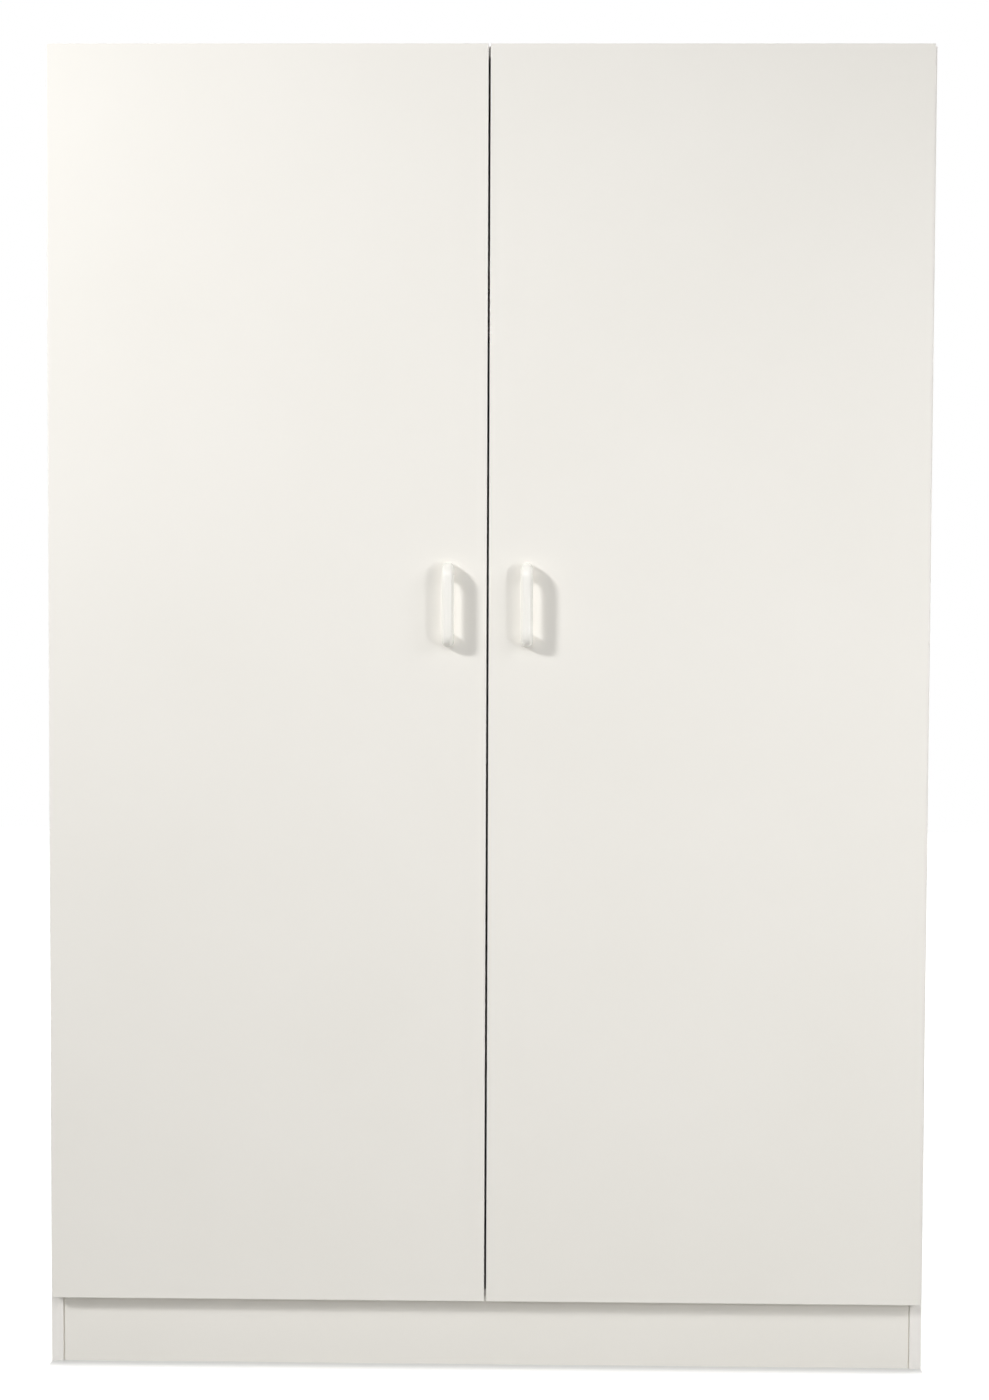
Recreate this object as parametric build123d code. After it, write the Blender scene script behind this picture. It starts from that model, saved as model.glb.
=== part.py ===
from build123d import *
import os

# White two-door wardrobe of melamine-faced board: a carcass with a kickboard, a hat shelf and a
# hanging rail, and two overlay doors on concealed single-pivot cup hinges with D-bow handles.
# Millimetres, Z up, front towards -Y, origin on the floor under the middle of the whole piece.

# Overall sizes
width = 1200.0
height = 1800.0
carcass_depth = 500.0

# Board, edging tape and hardboard back
board = 16.0
edging = 0.8
back_thickness = 3.0
back_margin = 1.0
strip_flange = 20.0
strip_wall = 0.8
strip_web = 2.0
strip_play = 0.3

# Doors: gaps that show round them and behind them
door_gap = 3.0
door_reveal = 4.5
meeting_gap = 3.0
door_lift = 4.0

# Plinth, shelf and hanging rail
kick_height = 90.0
kick_recess = 2.0
plinth_ease = 1.5
rear_rail_inset = 60.0
hat_space = 268.0
shelf_setback = 25.0
shelf_rear_gap = 2.0
rail_drop = 60.0
rail_height = 30.0
rail_thickness = 15.0
rail_wall = 1.2
socket_flange = 3.0
socket_depth = 16.0
socket_wall = 2.5
socket_ear = 12.0
support_width = 14.0
support_foot = 50.0

# Handles: moulded bows on two screws
handle_length = 113.0
handle_width = 16.0
handle_projection = 30.0
handle_bar = 8.0
handle_leg = 17.0
handle_corner = 19.0
handle_bevel = 4.0
handle_gap_corner = 9.0
handle_grip_round = 3.0
handle_hole_spacing = 96.0
handle_from_edge = 51.8
handle_height = 1049.0
handle_screw_radius = 2.0
handle_screw_grip = 12.0

# Hinges: cup, pin and cranked arm, as seen from above
hinge_inset = 100.0
cup_radius = 17.5
cup_edge = 3.0
cup_depth = 13.0
cup_wall = 0.7
cup_floor = 0.8
cup_rim = 1.2
cup_flange = 0.8
cup_ear_width = 13.0
cup_screw_spacing = 45.0
cup_screw_offset = 9.5
pin_radius = 1.2
pin_from_edge = 7.1
pin_depth = 9.4
pin_play = 0.05
eye_wall = 1.0
arm_thickness = 2.6
arm_reach = 11.9
arm_half_width = 5.0
arm_side_play = 0.3
lug_width = 3.0

# Hinge arm channel and mounting plate on the side panel
plate_base = 2.0
plate_setback = 37.0
plate_hole_spacing = 32.0
plate_wing_width = 14.0
plate_length = 60.0
plate_half_width = 9.0
arm_front = 5.0
channel_length = 63.0
channel_half_width = 8.0
channel_wall = 1.2
arm_screw_spacing = 26.0

# Board joints: cam locks, bolts and dowels
cam_radius = 7.5
cam_depth = 12.6
cam_from_end = 34.0
cam_recess = 2.5
cam_recess_width = 1.6
bolt_radius = 3.0
bolt_neck_radius = 2.0
bolt_head = 3.0
bolt_anchor = 11.0
bolt_anchor_radius = 2.5
dowel_radius = 4.0
dowel_in_panel = 20.0
dowel_in_side = 10.0
joint_inset = 50.0
dowel_step = 60.0
rail_dowel_step = 25.0

# Screws, bumpers and the fit of drilled holes
screw_radius = 1.75
screw_head_radius = 3.6
screw_head = 1.6
screw_length = 12.0
screw_recess = 1.0
screw_recess_width = 0.9
plate_screw_radius = 2.4
arm_screw_radius = 2.5
arm_screw_head_radius = 3.6
bumper_radius = 5.0
bumper_play = 0.3
fit = 0.1

# Places that follow from the sizes above
half_width = width / 2
inner_half = half_width - board
rear_total = back_thickness + strip_wall
total_depth = handle_projection + board + door_gap + carcass_depth + rear_total
front = -total_depth / 2 + handle_projection + board + door_gap
rear = front + carcass_depth
door_back = front - door_gap
door_front = door_back - board
door_bottom = kick_height + door_lift
door_edge = -half_width + door_reveal
door_meeting = -meeting_gap / 2
bottom_top = kick_height + board
top_under = height - board
shelf_top = top_under - hat_space
shelf_under = shelf_top - board
rail_z = shelf_under - rail_drop
rail_y = (front + rear) / 2
hinge_heights = {
    "upper": height - hinge_inset,
    "middle": (height + door_bottom) / 2,
    "lower": door_bottom + hinge_inset,
}

# Hinge places from the inner face and front edge of the left side panel
hinge_edge = door_edge + inner_half
cup_x = hinge_edge + cup_edge + cup_radius
pin_x = hinge_edge + pin_from_edge
pin_y = -door_gap - pin_depth
eye_radius = pin_radius + pin_play + eye_wall
riser_near = pin_x + arm_reach
riser_far = riser_near + arm_thickness
rib_top = riser_near - fit
rib_half_width = channel_half_width - channel_wall - arm_side_play
arm_back = arm_front + channel_length
mouth = Plane.XZ.offset(door_gap)

pieces = {}


def block(low, high):
    """A block between its lowest and highest corners."""
    sides = [b - a for a, b in zip(low, high)]
    middle = [(a + b) / 2 for a, b in zip(low, high)]
    return Pos(*middle) * Box(*sides)


def turned(steps, point, direction):
    """A piece turned about a line through the point, from (radius, distance) steps."""
    outline = [(0, steps[0][1]), *steps, (0, steps[-1][1])]
    section = Plane.XZ * make_face(Polyline(*outline, close=True))
    return Plane(origin=point, z_dir=direction) * revolve(section, Axis.Z)


def rod(radius, start, direction, length):
    """A plain round bar from its start, along a direction."""
    return turned([(radius, 0), (radius, length)], start, direction)


def cross_recess(span, slot, depth, face, direction):
    """The cross-shaped hollow that takes a driver, sunk from a face along a direction."""
    cross = Box(span, slot, depth) + Box(slot, span, depth)
    return Plane(origin=face, z_dir=direction) * Pos(0, 0, depth / 2) * cross


def screw(radius, length, head_radius, head, seat, direction):
    """A screw whose shank runs from its seat along the direction, with the head behind it."""
    steps = [(head_radius * 0.7, -head), (head_radius, -head / 2), (head_radius, 0)]
    steps += [(radius, 0), (radius, length - radius), (radius / 2, length)]
    face = Vector(seat) - Vector(direction) * head
    recess = cross_recess(head_radius, screw_recess_width, screw_recess, face, direction)
    return turned(steps, seat, direction) - recess


def mirrored(shape):
    """The same shape on the other side of the wardrobe."""
    return mirror(shape, about=Plane.YZ)


def on_both_sides(shapes):
    """Shapes of the left side together with their mirror images."""
    return Compound([*shapes, *[mirrored(shape) for shape in shapes]])


# Board joints. Each cross panel ends on the side panels with cams, bolts and dowels.
side_holes = []
cams = []
bolts = []
dowels = []


def joint_tools(point, cam_axis):
    """One cam joint at a panel's left end: adds its cam and bolt, returns the panel's bores."""
    end = Vector(point)
    cam_centre = end + Vector(cam_from_end, 0, 0)
    cam_mouth = cam_centre + Vector(cam_axis) * (board / 2)
    inward = Vector(cam_axis) * -1
    cam = rod(cam_radius, cam_mouth, inward, cam_depth)
    bolt_bore = bolt_radius + 2 * fit
    slot = rod(bolt_bore, end, (1, 0, 0), cam_from_end + bolt_head)
    recess = cross_recess(cam_radius, cam_recess_width, cam_recess, cam_mouth, inward)
    cams.append(cam - slot - recess)
    neck_start = cam_from_end - cam_radius
    profile = [
        (bolt_anchor_radius, -bolt_anchor),
        (bolt_anchor_radius, 0),
        (bolt_radius, 0),
        (bolt_radius, neck_start),
        (bolt_neck_radius, neck_start),
        (bolt_neck_radius, cam_from_end - bolt_head / 2),
        (bolt_radius, cam_from_end - bolt_head / 2),
        (bolt_radius, cam_from_end + bolt_head / 2),
    ]
    bolts.append(turned(profile, end, (1, 0, 0)))
    side_holes.append(rod(bolt_anchor_radius + fit, end, (-1, 0, 0), bolt_anchor + fit))
    return [slot, rod(cam_radius + fit, cam_mouth, inward, cam_depth + fit)]


def dowel_tools(point):
    """One dowel at a panel's left end: adds the dowel, returns the panel's bore."""
    end = Vector(point)
    start = end - Vector(dowel_in_side, 0, 0)
    length = dowel_in_side + dowel_in_panel
    chamfer = dowel_radius / 4
    profile = [
        (dowel_radius - chamfer, 0),
        (dowel_radius, chamfer),
        (dowel_radius, length - chamfer),
        (dowel_radius - chamfer, length),
    ]
    dowels.append(turned(profile, start, (1, 0, 0)))
    side_holes.append(rod(dowel_radius + fit, end, (-1, 0, 0), dowel_in_side + fit))
    return [rod(dowel_radius + fit, end, (1, 0, 0), dowel_in_panel + fit)]


def drilled(panel, tools):
    """A cross panel with the bores of its left end repeated at its right end."""
    return panel - [*tools, *[mirrored(tool) for tool in tools]]


def cross_panel(front_edge, back_edge, under):
    """A level panel between the sides, edged in front, with cams on its underside."""
    level = under + board / 2
    tools = []
    for y in (front_edge + joint_inset, back_edge - joint_inset):
        tools += joint_tools((-inner_half, y, level), (0, 0, -1))
    for y in (front_edge + joint_inset + dowel_step, back_edge - joint_inset - dowel_step):
        tools += dowel_tools((-inner_half, y, level))
    low = (-inner_half, front_edge + edging, under)
    return drilled(block(low, (inner_half, back_edge, under + board)), tools)


def plinth_rail(face, cam_axis):
    """An upright rail under the bottom panel, its front face at a depth and its ends eased."""
    centre = face + board / 2
    tools = joint_tools((-inner_half, centre, kick_height / 2), cam_axis)
    for z in (kick_height / 2 - rail_dowel_step, kick_height / 2 + rail_dowel_step):
        tools += dowel_tools((-inner_half, centre, z))
    rail = block((-inner_half, face, 0), (inner_half, face + board, kick_height))
    return drilled(chamfer(rail.edges().filter_by(Axis.Z), plinth_ease), tools)


# Carcass boards and their front edging
shelf_front = front + shelf_setback
shelf_rear = rear - shelf_rear_gap
pieces["top_panel"] = cross_panel(front, rear, top_under)
pieces["bottom_panel"] = cross_panel(front, rear, kick_height)
pieces["hat_shelf"] = cross_panel(shelf_front, shelf_rear, shelf_under)
pieces["kickboard"] = plinth_rail(front + kick_recess, (0, 1, 0))
pieces["rear_plinth_rail"] = plinth_rail(rear - rear_rail_inset, (0, -1, 0))


def front_tape(front_edge, under):
    """The edging tape of a level panel."""
    return block((-inner_half, front_edge, under), (inner_half, front_edge + edging, under + board))


side_tape = block((-half_width, front, 0), (-inner_half, front + edging, height))
level_tapes = [(front, top_under), (front, kick_height), (shelf_front, shelf_under)]
pieces["carcass_edging"] = Compound(
    [side_tape, mirrored(side_tape), *[front_tape(*place) for place in level_tapes]]
)

# Back: two hardboard sheets that meet in an H-section strip
sheet_low = (-half_width + back_margin, rear, kick_height + back_margin)
sheet_high = (-strip_web / 2 - strip_play, rear + back_thickness, height - back_margin)
back_sheet = block(sheet_low, sheet_high)
pieces["back_panel_left"] = back_sheet
pieces["back_panel_right"] = mirrored(back_sheet)
strip_bottom = bottom_top + strip_play
strip_top = top_under - strip_play
web = block((-strip_web / 2, rear, strip_bottom), (strip_web / 2, rear + back_thickness, strip_top))
inner_flange = block(
    (-strip_flange / 2, rear - strip_wall, strip_bottom), (strip_flange / 2, rear, strip_top)
)
outer_flange = Pos(0, back_thickness + strip_wall, 0) * inner_flange
pieces["back_joining_strip"] = inner_flange + web + outer_flange


# Hanging rail: oval tube in screwed sockets, hung once from the shelf
def oval(grow):
    """The rail's oval outline, grown all round."""
    outline = SlotOverall(rail_height + 2 * grow, rail_thickness + 2 * grow, rotation=90)
    return Plane.YZ * Pos(rail_y, rail_z) * outline


rail_half = inner_half - socket_flange - fit
tube = extrude(oval(0), rail_half, both=True) - extrude(oval(-rail_wall), rail_half, both=True)
pieces["hanging_rail"] = tube
ear_height = rail_height + 2 * (socket_wall + socket_ear)
ear_width = rail_thickness + 2 * socket_wall
socket_outline = Plane.YZ * Pos(rail_y, rail_z) * SlotOverall(ear_height, ear_width, rotation=90)
socket = extrude(Pos(-inner_half, 0, 0) * socket_outline, socket_flange)
socket += extrude(Pos(-inner_half, 0, 0) * oval(socket_wall), socket_depth)
socket -= extrude(Pos(-inner_half + socket_flange, 0, 0) * oval(fit), socket_depth)
socket_screws = []
for side in (-1, 1):
    reach = rail_height / 2 + socket_wall + socket_ear / 2
    seat = (-inner_half + socket_flange, rail_y, rail_z + side * reach)
    socket -= rod(screw_radius + fit, seat, (-1, 0, 0), socket_flange)
    side_holes.append(rod(screw_radius + fit, seat, (-1, 0, 0), screw_length + fit))
    socket_screws.append(
        screw(screw_radius, screw_length, screw_head_radius, screw_head, seat, (-1, 0, 0))
    )
pieces["rail_socket_left"] = socket
pieces["rail_socket_right"] = mirrored(socket)

stem_low = (-support_width / 2, rail_y - socket_wall / 2, rail_z + rail_height / 2)
stem = block(stem_low, (support_width / 2, rail_y + socket_wall / 2, shelf_under))
foot_low = (-support_width / 2, rail_y - support_foot / 2, shelf_under - socket_flange)
foot = block(foot_low, (support_width / 2, rail_y + support_foot / 2, shelf_under))
foot = fillet(foot.edges().filter_by(Axis.Z), support_width / 3)
ring = extrude(oval(socket_wall), support_width / 2, both=True)
support = ring + stem + foot - extrude(oval(fit), support_width, both=True)
support_screws = []
shelf_holes = []
for side in (-1, 1):
    seat = (0, rail_y + side * support_foot / 3, shelf_under - socket_flange)
    support -= rod(screw_radius + fit, seat, (0, 0, 1), socket_flange)
    shelf_holes.append(rod(screw_radius + fit, seat, (0, 0, 1), screw_length + fit))
    support_screws.append(
        screw(screw_radius, screw_length, screw_head_radius, screw_head, seat, (0, 0, 1))
    )
pieces["rail_centre_support"] = support
pieces["hat_shelf"] -= shelf_holes
pieces["rail_screws"] = Compound(
    [*socket_screws, *[mirrored(one) for one in socket_screws], *support_screws]
)


# Concealed hinge, built at the panel's front edge with its middle at height zero
def cup_circle(radius):
    """A circle round the cup's axis, on the door's back face."""
    return mouth * Pos(cup_x, 0) * Circle(radius)


def hinge_cup():
    """The pressed cup with its screw flange and the two lugs that carry the pin."""
    ears = SlotOverall(cup_screw_spacing + cup_ear_width, cup_ear_width, rotation=90)
    plate = extrude(cup_circle(cup_radius + cup_rim), -cup_flange)
    plate += extrude(mouth * Pos(cup_x + cup_screw_offset, 0) * ears, -cup_flange)
    barrel = extrude(cup_circle(cup_radius), cup_depth)
    cavity = extrude(cup_circle(cup_radius - cup_wall), cup_depth - cup_floor)
    cavity += extrude(cup_circle(cup_radius - cup_wall), -cup_flange)
    lug_start = arm_half_width + arm_side_play
    lug_low = (hinge_edge, -door_gap - cup_depth, lug_start)
    lug_high = (pin_x + eye_radius, pin_y + eye_radius, lug_start + lug_width)
    lug = block(lug_low, lug_high) & barrel
    cup = barrel + plate - cavity + lug + mirror(lug, about=Plane.XY)
    for side in (-1, 1):
        cup -= rod(screw_radius + fit, cup_screw_seat(side), (0, -1, 0), cup_flange)
    return cup - hinge_pin(pin_play)


def cup_screw_seat(side):
    """Where a cup screw's head sits on the flange."""
    return (cup_x + cup_screw_offset, -door_gap + cup_flange, side * cup_screw_spacing / 2)


def hinge_pin(grow):
    """The pin from lug to lug, or with its play the bore that it turns in."""
    half_length = arm_half_width + arm_side_play + lug_width
    return rod(pin_radius + grow, (pin_x, pin_y, -half_length), (0, 0, 1), 2 * half_length)


def hinge_arm():
    """The cranked arm: an eye on the pin, a riser out of the cup and a channel over the plate."""
    bar = block(
        (pin_x, pin_y - arm_thickness / 2, -arm_half_width),
        (riser_far, pin_y + arm_thickness / 2, arm_half_width),
    )
    riser = block(
        (riser_near, pin_y - arm_thickness / 2, -arm_half_width),
        (riser_far, arm_front + channel_wall, arm_half_width),
    )
    crank = bar + riser
    upright = crank.edges().filter_by(Axis.Z)
    outer_corner = upright.sort_by_distance((riser_far, pin_y - arm_thickness / 2, 0))[0]
    crank = fillet(outer_corner, arm_thickness)
    eye = rod(eye_radius, (pin_x, pin_y, -arm_half_width), (0, 0, 1), 2 * arm_half_width)
    shoulder = [
        (-door_gap / 2, arm_half_width),
        (arm_front, channel_half_width),
        (arm_front, -channel_half_width),
        (-door_gap / 2, -arm_half_width),
    ]
    neck = extrude(Plane.YZ.offset(riser_near) * make_face(Polyline(*shoulder, close=True)), arm_thickness)
    channel = block(
        (plate_base + fit, arm_front, -channel_half_width),
        (riser_far, arm_back, channel_half_width),
    )
    long_edges = channel.edges().filter_by(Axis.Y).group_by(Axis.X)[-1]
    channel = fillet(long_edges, channel_wall * 0.8)
    hollow_half = channel_half_width - channel_wall
    channel -= block((0, arm_front, -hollow_half), (riser_near, arm_back, hollow_half))
    arm = crank + eye + neck + channel
    for y in arm_screw_places():
        arm -= rod(arm_screw_radius + fit, (riser_far, y, 0), (-1, 0, 0), arm_thickness)
    return arm - hinge_pin(pin_play)


def arm_screw_places():
    """How far behind the front edge the two arm screws stand."""
    middle = (arm_front + arm_back) / 2
    return (middle - arm_screw_spacing / 2, middle + arm_screw_spacing / 2)


def hinge_plate():
    """The cross-shaped mounting plate with the rib that the arm is screwed to."""
    base = RectangleRounded(plate_length, 2 * plate_half_width, plate_half_width / 2)
    wings = SlotOverall(plate_hole_spacing + plate_wing_width, plate_wing_width, rotation=90)
    outline = Plane.YZ * Pos(plate_setback, 0) * (base + wings)
    rib_low = (plate_base, plate_setback - plate_length / 2 + rib_half_width, -rib_half_width)
    rib_high = (rib_top, plate_setback + plate_length / 2 - rib_half_width, rib_half_width)
    plate = extrude(outline, plate_base) + block(rib_low, rib_high)
    for side in (-1, 1):
        plate -= rod(plate_screw_radius + fit, plate_screw_seat(side), (-1, 0, 0), plate_base)
    for y in arm_screw_places():
        plate -= rod(arm_screw_radius + fit, (rib_top, y, 0), (-1, 0, 0), rib_top - plate_base / 2)
    return plate


def plate_screw_seat(side):
    """Where a plate screw's head sits on a wing."""
    return (plate_base, plate_setback, side * plate_hole_spacing / 2)


# The hinges of the left side, then their mirror images on the right
cup_tools = []
cup_screws = []
plate_screws = []
arm_screws = []
hinge_pins = []
for level, hinge_z in hinge_heights.items():
    at_hinge = Pos(-inner_half, front, hinge_z)
    hinge_parts = {"cup": hinge_cup(), "arm": hinge_arm(), "plate": hinge_plate()}
    for part_name, shape in hinge_parts.items():
        pieces[f"left_{level}_hinge_{part_name}"] = at_hinge * shape
        pieces[f"right_{level}_hinge_{part_name}"] = mirrored(at_hinge * shape)
    hinge_pins.append(at_hinge * hinge_pin(0))
    cup_tools.append(at_hinge * extrude(cup_circle(cup_radius + fit), cup_depth + fit))
    for side in (-1, 1):
        cup_seat = cup_screw_seat(side)
        cup_screws.append(
            at_hinge
            * screw(screw_radius, screw_length, screw_head_radius, screw_head, cup_seat, (0, -1, 0))
        )
        cup_tools.append(at_hinge * rod(screw_radius + fit, cup_seat, (0, -1, 0), screw_length + fit))
        plate_seat = plate_screw_seat(side)
        plate_screws.append(
            at_hinge
            * screw(plate_screw_radius, screw_length, screw_head_radius, screw_head, plate_seat, (-1, 0, 0))
        )
        side_holes.append(
            at_hinge * rod(plate_screw_radius + fit, plate_seat, (-1, 0, 0), screw_length + fit)
        )
    for y in arm_screw_places():
        length = riser_far - plate_base
        arm_screws.append(
            at_hinge
            * screw(
                arm_screw_radius, length, arm_screw_head_radius, screw_head, (riser_far, y, 0), (-1, 0, 0)
            )
        )
pieces["hinge_plate_screws"] = on_both_sides(plate_screws)
pieces["hinge_arm_screws"] = on_both_sides(arm_screws)

# Side panels, drilled for everything that fixes to them
side_panel = block((-half_width, front + edging, 0), (-inner_half, rear, height)) - side_holes
pieces["left_side_panel"] = side_panel
pieces["right_side_panel"] = mirrored(side_panel)
pieces["cam_locks"] = on_both_sides(cams)
pieces["cam_bolts"] = on_both_sides(bolts)
pieces["wood_dowels"] = on_both_sides(dowels)


# Door with its edging, handle, hinge cups and bumpers, built for the left side
def handle_bow():
    """The moulded bow: a D in side view, bevelled outside and rounded where fingers grip it."""
    half = handle_length / 2
    inner_half_gap = half - handle_leg
    grip_depth = handle_projection - handle_bar
    side_view = Plane.YZ * make_face(Polyline(
        (0, -half), (-handle_projection, -half), (-handle_projection, half), (0, half), close=True
    ))
    bow = extrude(side_view, handle_width / 2, both=True)
    corners = bow.edges().filter_by(Axis.X).group_by(Axis.Y)[0]
    bow = fillet(corners, handle_corner)
    outer_rim = bow.faces().sort_by(Axis.X)[-1].edges() + bow.faces().sort_by(Axis.X)[0].edges()
    outer_rim = [edge for edge in outer_rim if edge.center().Y < -fit]
    bow = chamfer(outer_rim, handle_bevel)
    gap = block(
        (-handle_width, -grip_depth, -inner_half_gap), (handle_width, handle_leg, inner_half_gap)
    )
    gap_corners = gap.edges().filter_by(Axis.X).group_by(Axis.Y)[0]
    bow -= fillet(gap_corners, handle_gap_corner)
    rim = bow.edges().filter_by_position(Axis.Z, -inner_half_gap - fit, inner_half_gap + fit)
    rim = rim.filter_by_position(Axis.Y, -grip_depth - fit, 0).group_by(Axis.X)
    flank = handle_bar - handle_bevel
    return fillet(rim[0] + rim[-1], min(handle_grip_round, flank * 0.8))


handle_place = Pos(door_meeting - handle_from_edge, door_front, handle_height)
handle = handle_place * handle_bow()
handle_screws = []
handle_holes = []
for side in (-1, 1):
    hole_z = handle_height + side * handle_hole_spacing / 2
    seat = (door_meeting - handle_from_edge, door_back, hole_z)
    screw_length_full = board + handle_screw_grip
    handle_screws.append(
        screw(handle_screw_radius, screw_length_full, 2 * handle_screw_radius, screw_head, seat, (0, -1, 0))
    )
    handle_holes.append(rod(handle_screw_radius + fit, seat, (0, -1, 0), screw_length_full + fit))
handle -= handle_holes

core_low = (door_edge + edging, door_front, door_bottom + edging)
core_high = (door_meeting - edging, door_back, height - edging)
door = block(core_low, core_high) - [*cup_tools, *handle_holes]
edge_strips = [
    block((door_edge, door_front, door_bottom), (core_low[0], door_back, height)),
    block((core_high[0], door_front, door_bottom), (door_meeting, door_back, height)),
    block((core_low[0], door_front, door_bottom), (core_high[0], door_back, core_low[2])),
    block((core_low[0], door_front, core_high[2]), (core_high[0], door_back, height)),
]
bumpers = []
for bumper_z in (door_bottom + edging + bumper_radius, height - edging - bumper_radius):
    spot = (door_meeting - 2 * bumper_radius, door_back, bumper_z)
    rise = door_gap - bumper_play
    dome = [(bumper_radius, 0), (bumper_radius, rise / 2), (bumper_radius * 0.7, rise)]
    bumpers.append(turned(dome, spot, (0, 1, 0)))

door_pieces = {
    "door_panel": door,
    "door_edging": Compound(edge_strips),
    "handle": handle,
    "handle_screws": Compound(handle_screws),
    "hinge_pins": Compound(hinge_pins),
    "cup_screws": Compound(cup_screws),
    "door_bumpers": Compound(bumpers),
}
for piece_name, shape in door_pieces.items():
    pieces[f"left_{piece_name}"] = shape
    pieces[f"right_{piece_name}"] = mirrored(shape)

os.makedirs("parts", exist_ok=True)
for piece_name, shape in pieces.items():
    export_step(shape, f"parts/{piece_name}.step")
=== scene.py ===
"""Looks of a white two-door wardrobe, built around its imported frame.

The frame's pieces get their finishes. Door edging, handles and hanging rail are modelled again, the back
gets its nail heads, and a pale studio stands round it all.
"""
from __future__ import annotations

import logging
import math
from collections.abc import Callable
from dataclasses import dataclass
from enum import Enum

import bmesh
import bpy
from mathutils import Matrix, Vector

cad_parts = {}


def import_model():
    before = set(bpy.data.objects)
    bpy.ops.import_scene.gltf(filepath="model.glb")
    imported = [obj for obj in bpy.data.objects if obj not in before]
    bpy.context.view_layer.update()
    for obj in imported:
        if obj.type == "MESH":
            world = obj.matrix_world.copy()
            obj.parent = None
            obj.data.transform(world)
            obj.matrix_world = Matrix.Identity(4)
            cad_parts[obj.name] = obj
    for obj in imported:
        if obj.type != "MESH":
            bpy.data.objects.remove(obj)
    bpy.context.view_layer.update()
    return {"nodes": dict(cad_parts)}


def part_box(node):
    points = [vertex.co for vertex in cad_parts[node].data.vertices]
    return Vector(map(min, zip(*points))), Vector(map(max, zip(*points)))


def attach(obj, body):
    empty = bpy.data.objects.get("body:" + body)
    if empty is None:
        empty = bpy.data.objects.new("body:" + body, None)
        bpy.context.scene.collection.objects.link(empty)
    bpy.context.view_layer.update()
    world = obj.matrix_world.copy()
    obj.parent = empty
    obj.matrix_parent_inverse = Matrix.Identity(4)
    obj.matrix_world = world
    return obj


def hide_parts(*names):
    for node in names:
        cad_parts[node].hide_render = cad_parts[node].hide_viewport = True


LOG = logging.getLogger("wardrobe")
MM = 0.001
# Points closer than this lie on the same line or face
TOUCH = 0.1 * MM
# A normal's part along an axis, past which the surface faces that way
FACING = 0.5


class Axis(Enum):
    """The direction that a board's two faced sides look along."""

    X = "X"
    Y = "Y"
    Z = "Z"


class Side(Enum):
    """A door's side of the wardrobe, as the user sees it."""

    LEFT = "left"
    RIGHT = "right"


def linear_colour(hex_code: str) -> tuple[float, float, float, float]:
    """Turn an sRGB hex code into a linear colour.

    Args:
        hex_code: Six hex digits after a hash.

    Returns:
        Linear red, green and blue, and an alpha of one.
    """
    channels = []
    for start in (1, 3, 5):
        value = int(hex_code[start:start + 2], 16) / 255
        channels.append(value / 12.92 if value <= 0.04045 else ((value + 0.055) / 1.055) ** 2.4)
    return (channels[0], channels[1], channels[2], 1.0)


def per_metre(size_mm: float) -> float:
    """Texture scale at which one cell of a pattern has this size in millimetres."""
    return 1000 / size_mm


def add_node(
    tree: bpy.types.NodeTree, kind: str, settings: dict | None = None, links: dict | None = None
) -> bpy.types.Node:
    """Add a shader node with its settings and incoming links.

    Args:
        tree: Node tree that gets the node.
        kind: Node type name.
        settings: Values by property name, or by the name or number of an input.
        links: For an input's name or number, the node and output that feed it.

    Returns:
        The new node.
    """
    node = tree.nodes.new(kind)
    for key, value in (settings or {}).items():
        if isinstance(key, str) and hasattr(node, key):
            setattr(node, key, value)
        else:
            node.inputs[key].default_value = value
    for key, (source, output) in (links or {}).items():
        tree.links.new(source.outputs[output], node.inputs[key])
    return node


@dataclass(frozen=True)
class Finish:
    """A material that one or more pieces share."""

    name: str

    def material(self) -> bpy.types.Material:
        """Give the finish's material, built at its first use.

        Returns:
            The material, the same one for every piece.
        """
        found = bpy.data.materials.get(self.name)
        if found:
            return found
        made = bpy.data.materials.new(self.name)
        made.use_nodes = True
        made.node_tree.nodes.clear()
        shader = self.shade(made.node_tree)
        add_node(made.node_tree, "ShaderNodeOutputMaterial", links={"Surface": (shader, 0)})
        return made

    def shade(self, tree: bpy.types.NodeTree) -> bpy.types.Node:
        """Build the surface shader.

        Args:
            tree: Empty node tree of the material.

        Returns:
            The shader node.
        """
        raise NotImplementedError

    def dress(self, piece: bpy.types.Object) -> None:
        """Put the finish on every material slot of a piece.

        Args:
            piece: Mesh object, a carried-over node or a new piece.
        """
        if not piece.material_slots:
            piece.data.materials.append(self.material())
        for place in piece.material_slots:
            place.material = self.material()


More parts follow.
